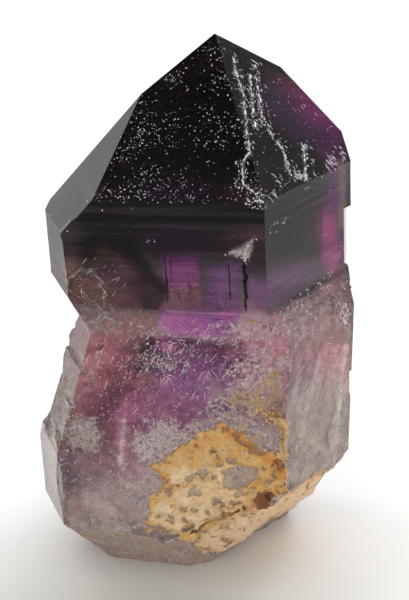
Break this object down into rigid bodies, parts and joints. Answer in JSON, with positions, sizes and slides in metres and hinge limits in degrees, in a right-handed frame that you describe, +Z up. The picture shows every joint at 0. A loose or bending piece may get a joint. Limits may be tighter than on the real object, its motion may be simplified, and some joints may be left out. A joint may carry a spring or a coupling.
{
  "type": "amethyst crystal",
  "caption": "Natural smoky-violet amethyst crystal: a dark pointed hexagonal head over a pinched neck and a paler, rust-stained lower crystal, standing on a flat cut base.",
  "frame": {"origin": "on the flat cut that the crystal stands on, under the middle of the crystal's box", "axes": "+Z up along the crystal's long axis towards its point; -Y out of the broad front prism face"},
  "size_m": [0.0426, 0.0262, 0.0712],
  "materials": {
    "amethyst": "glossy"
  },
  "bodies": {
    "root": {"crystal": "amethyst"}
  },
  "joints": []
}
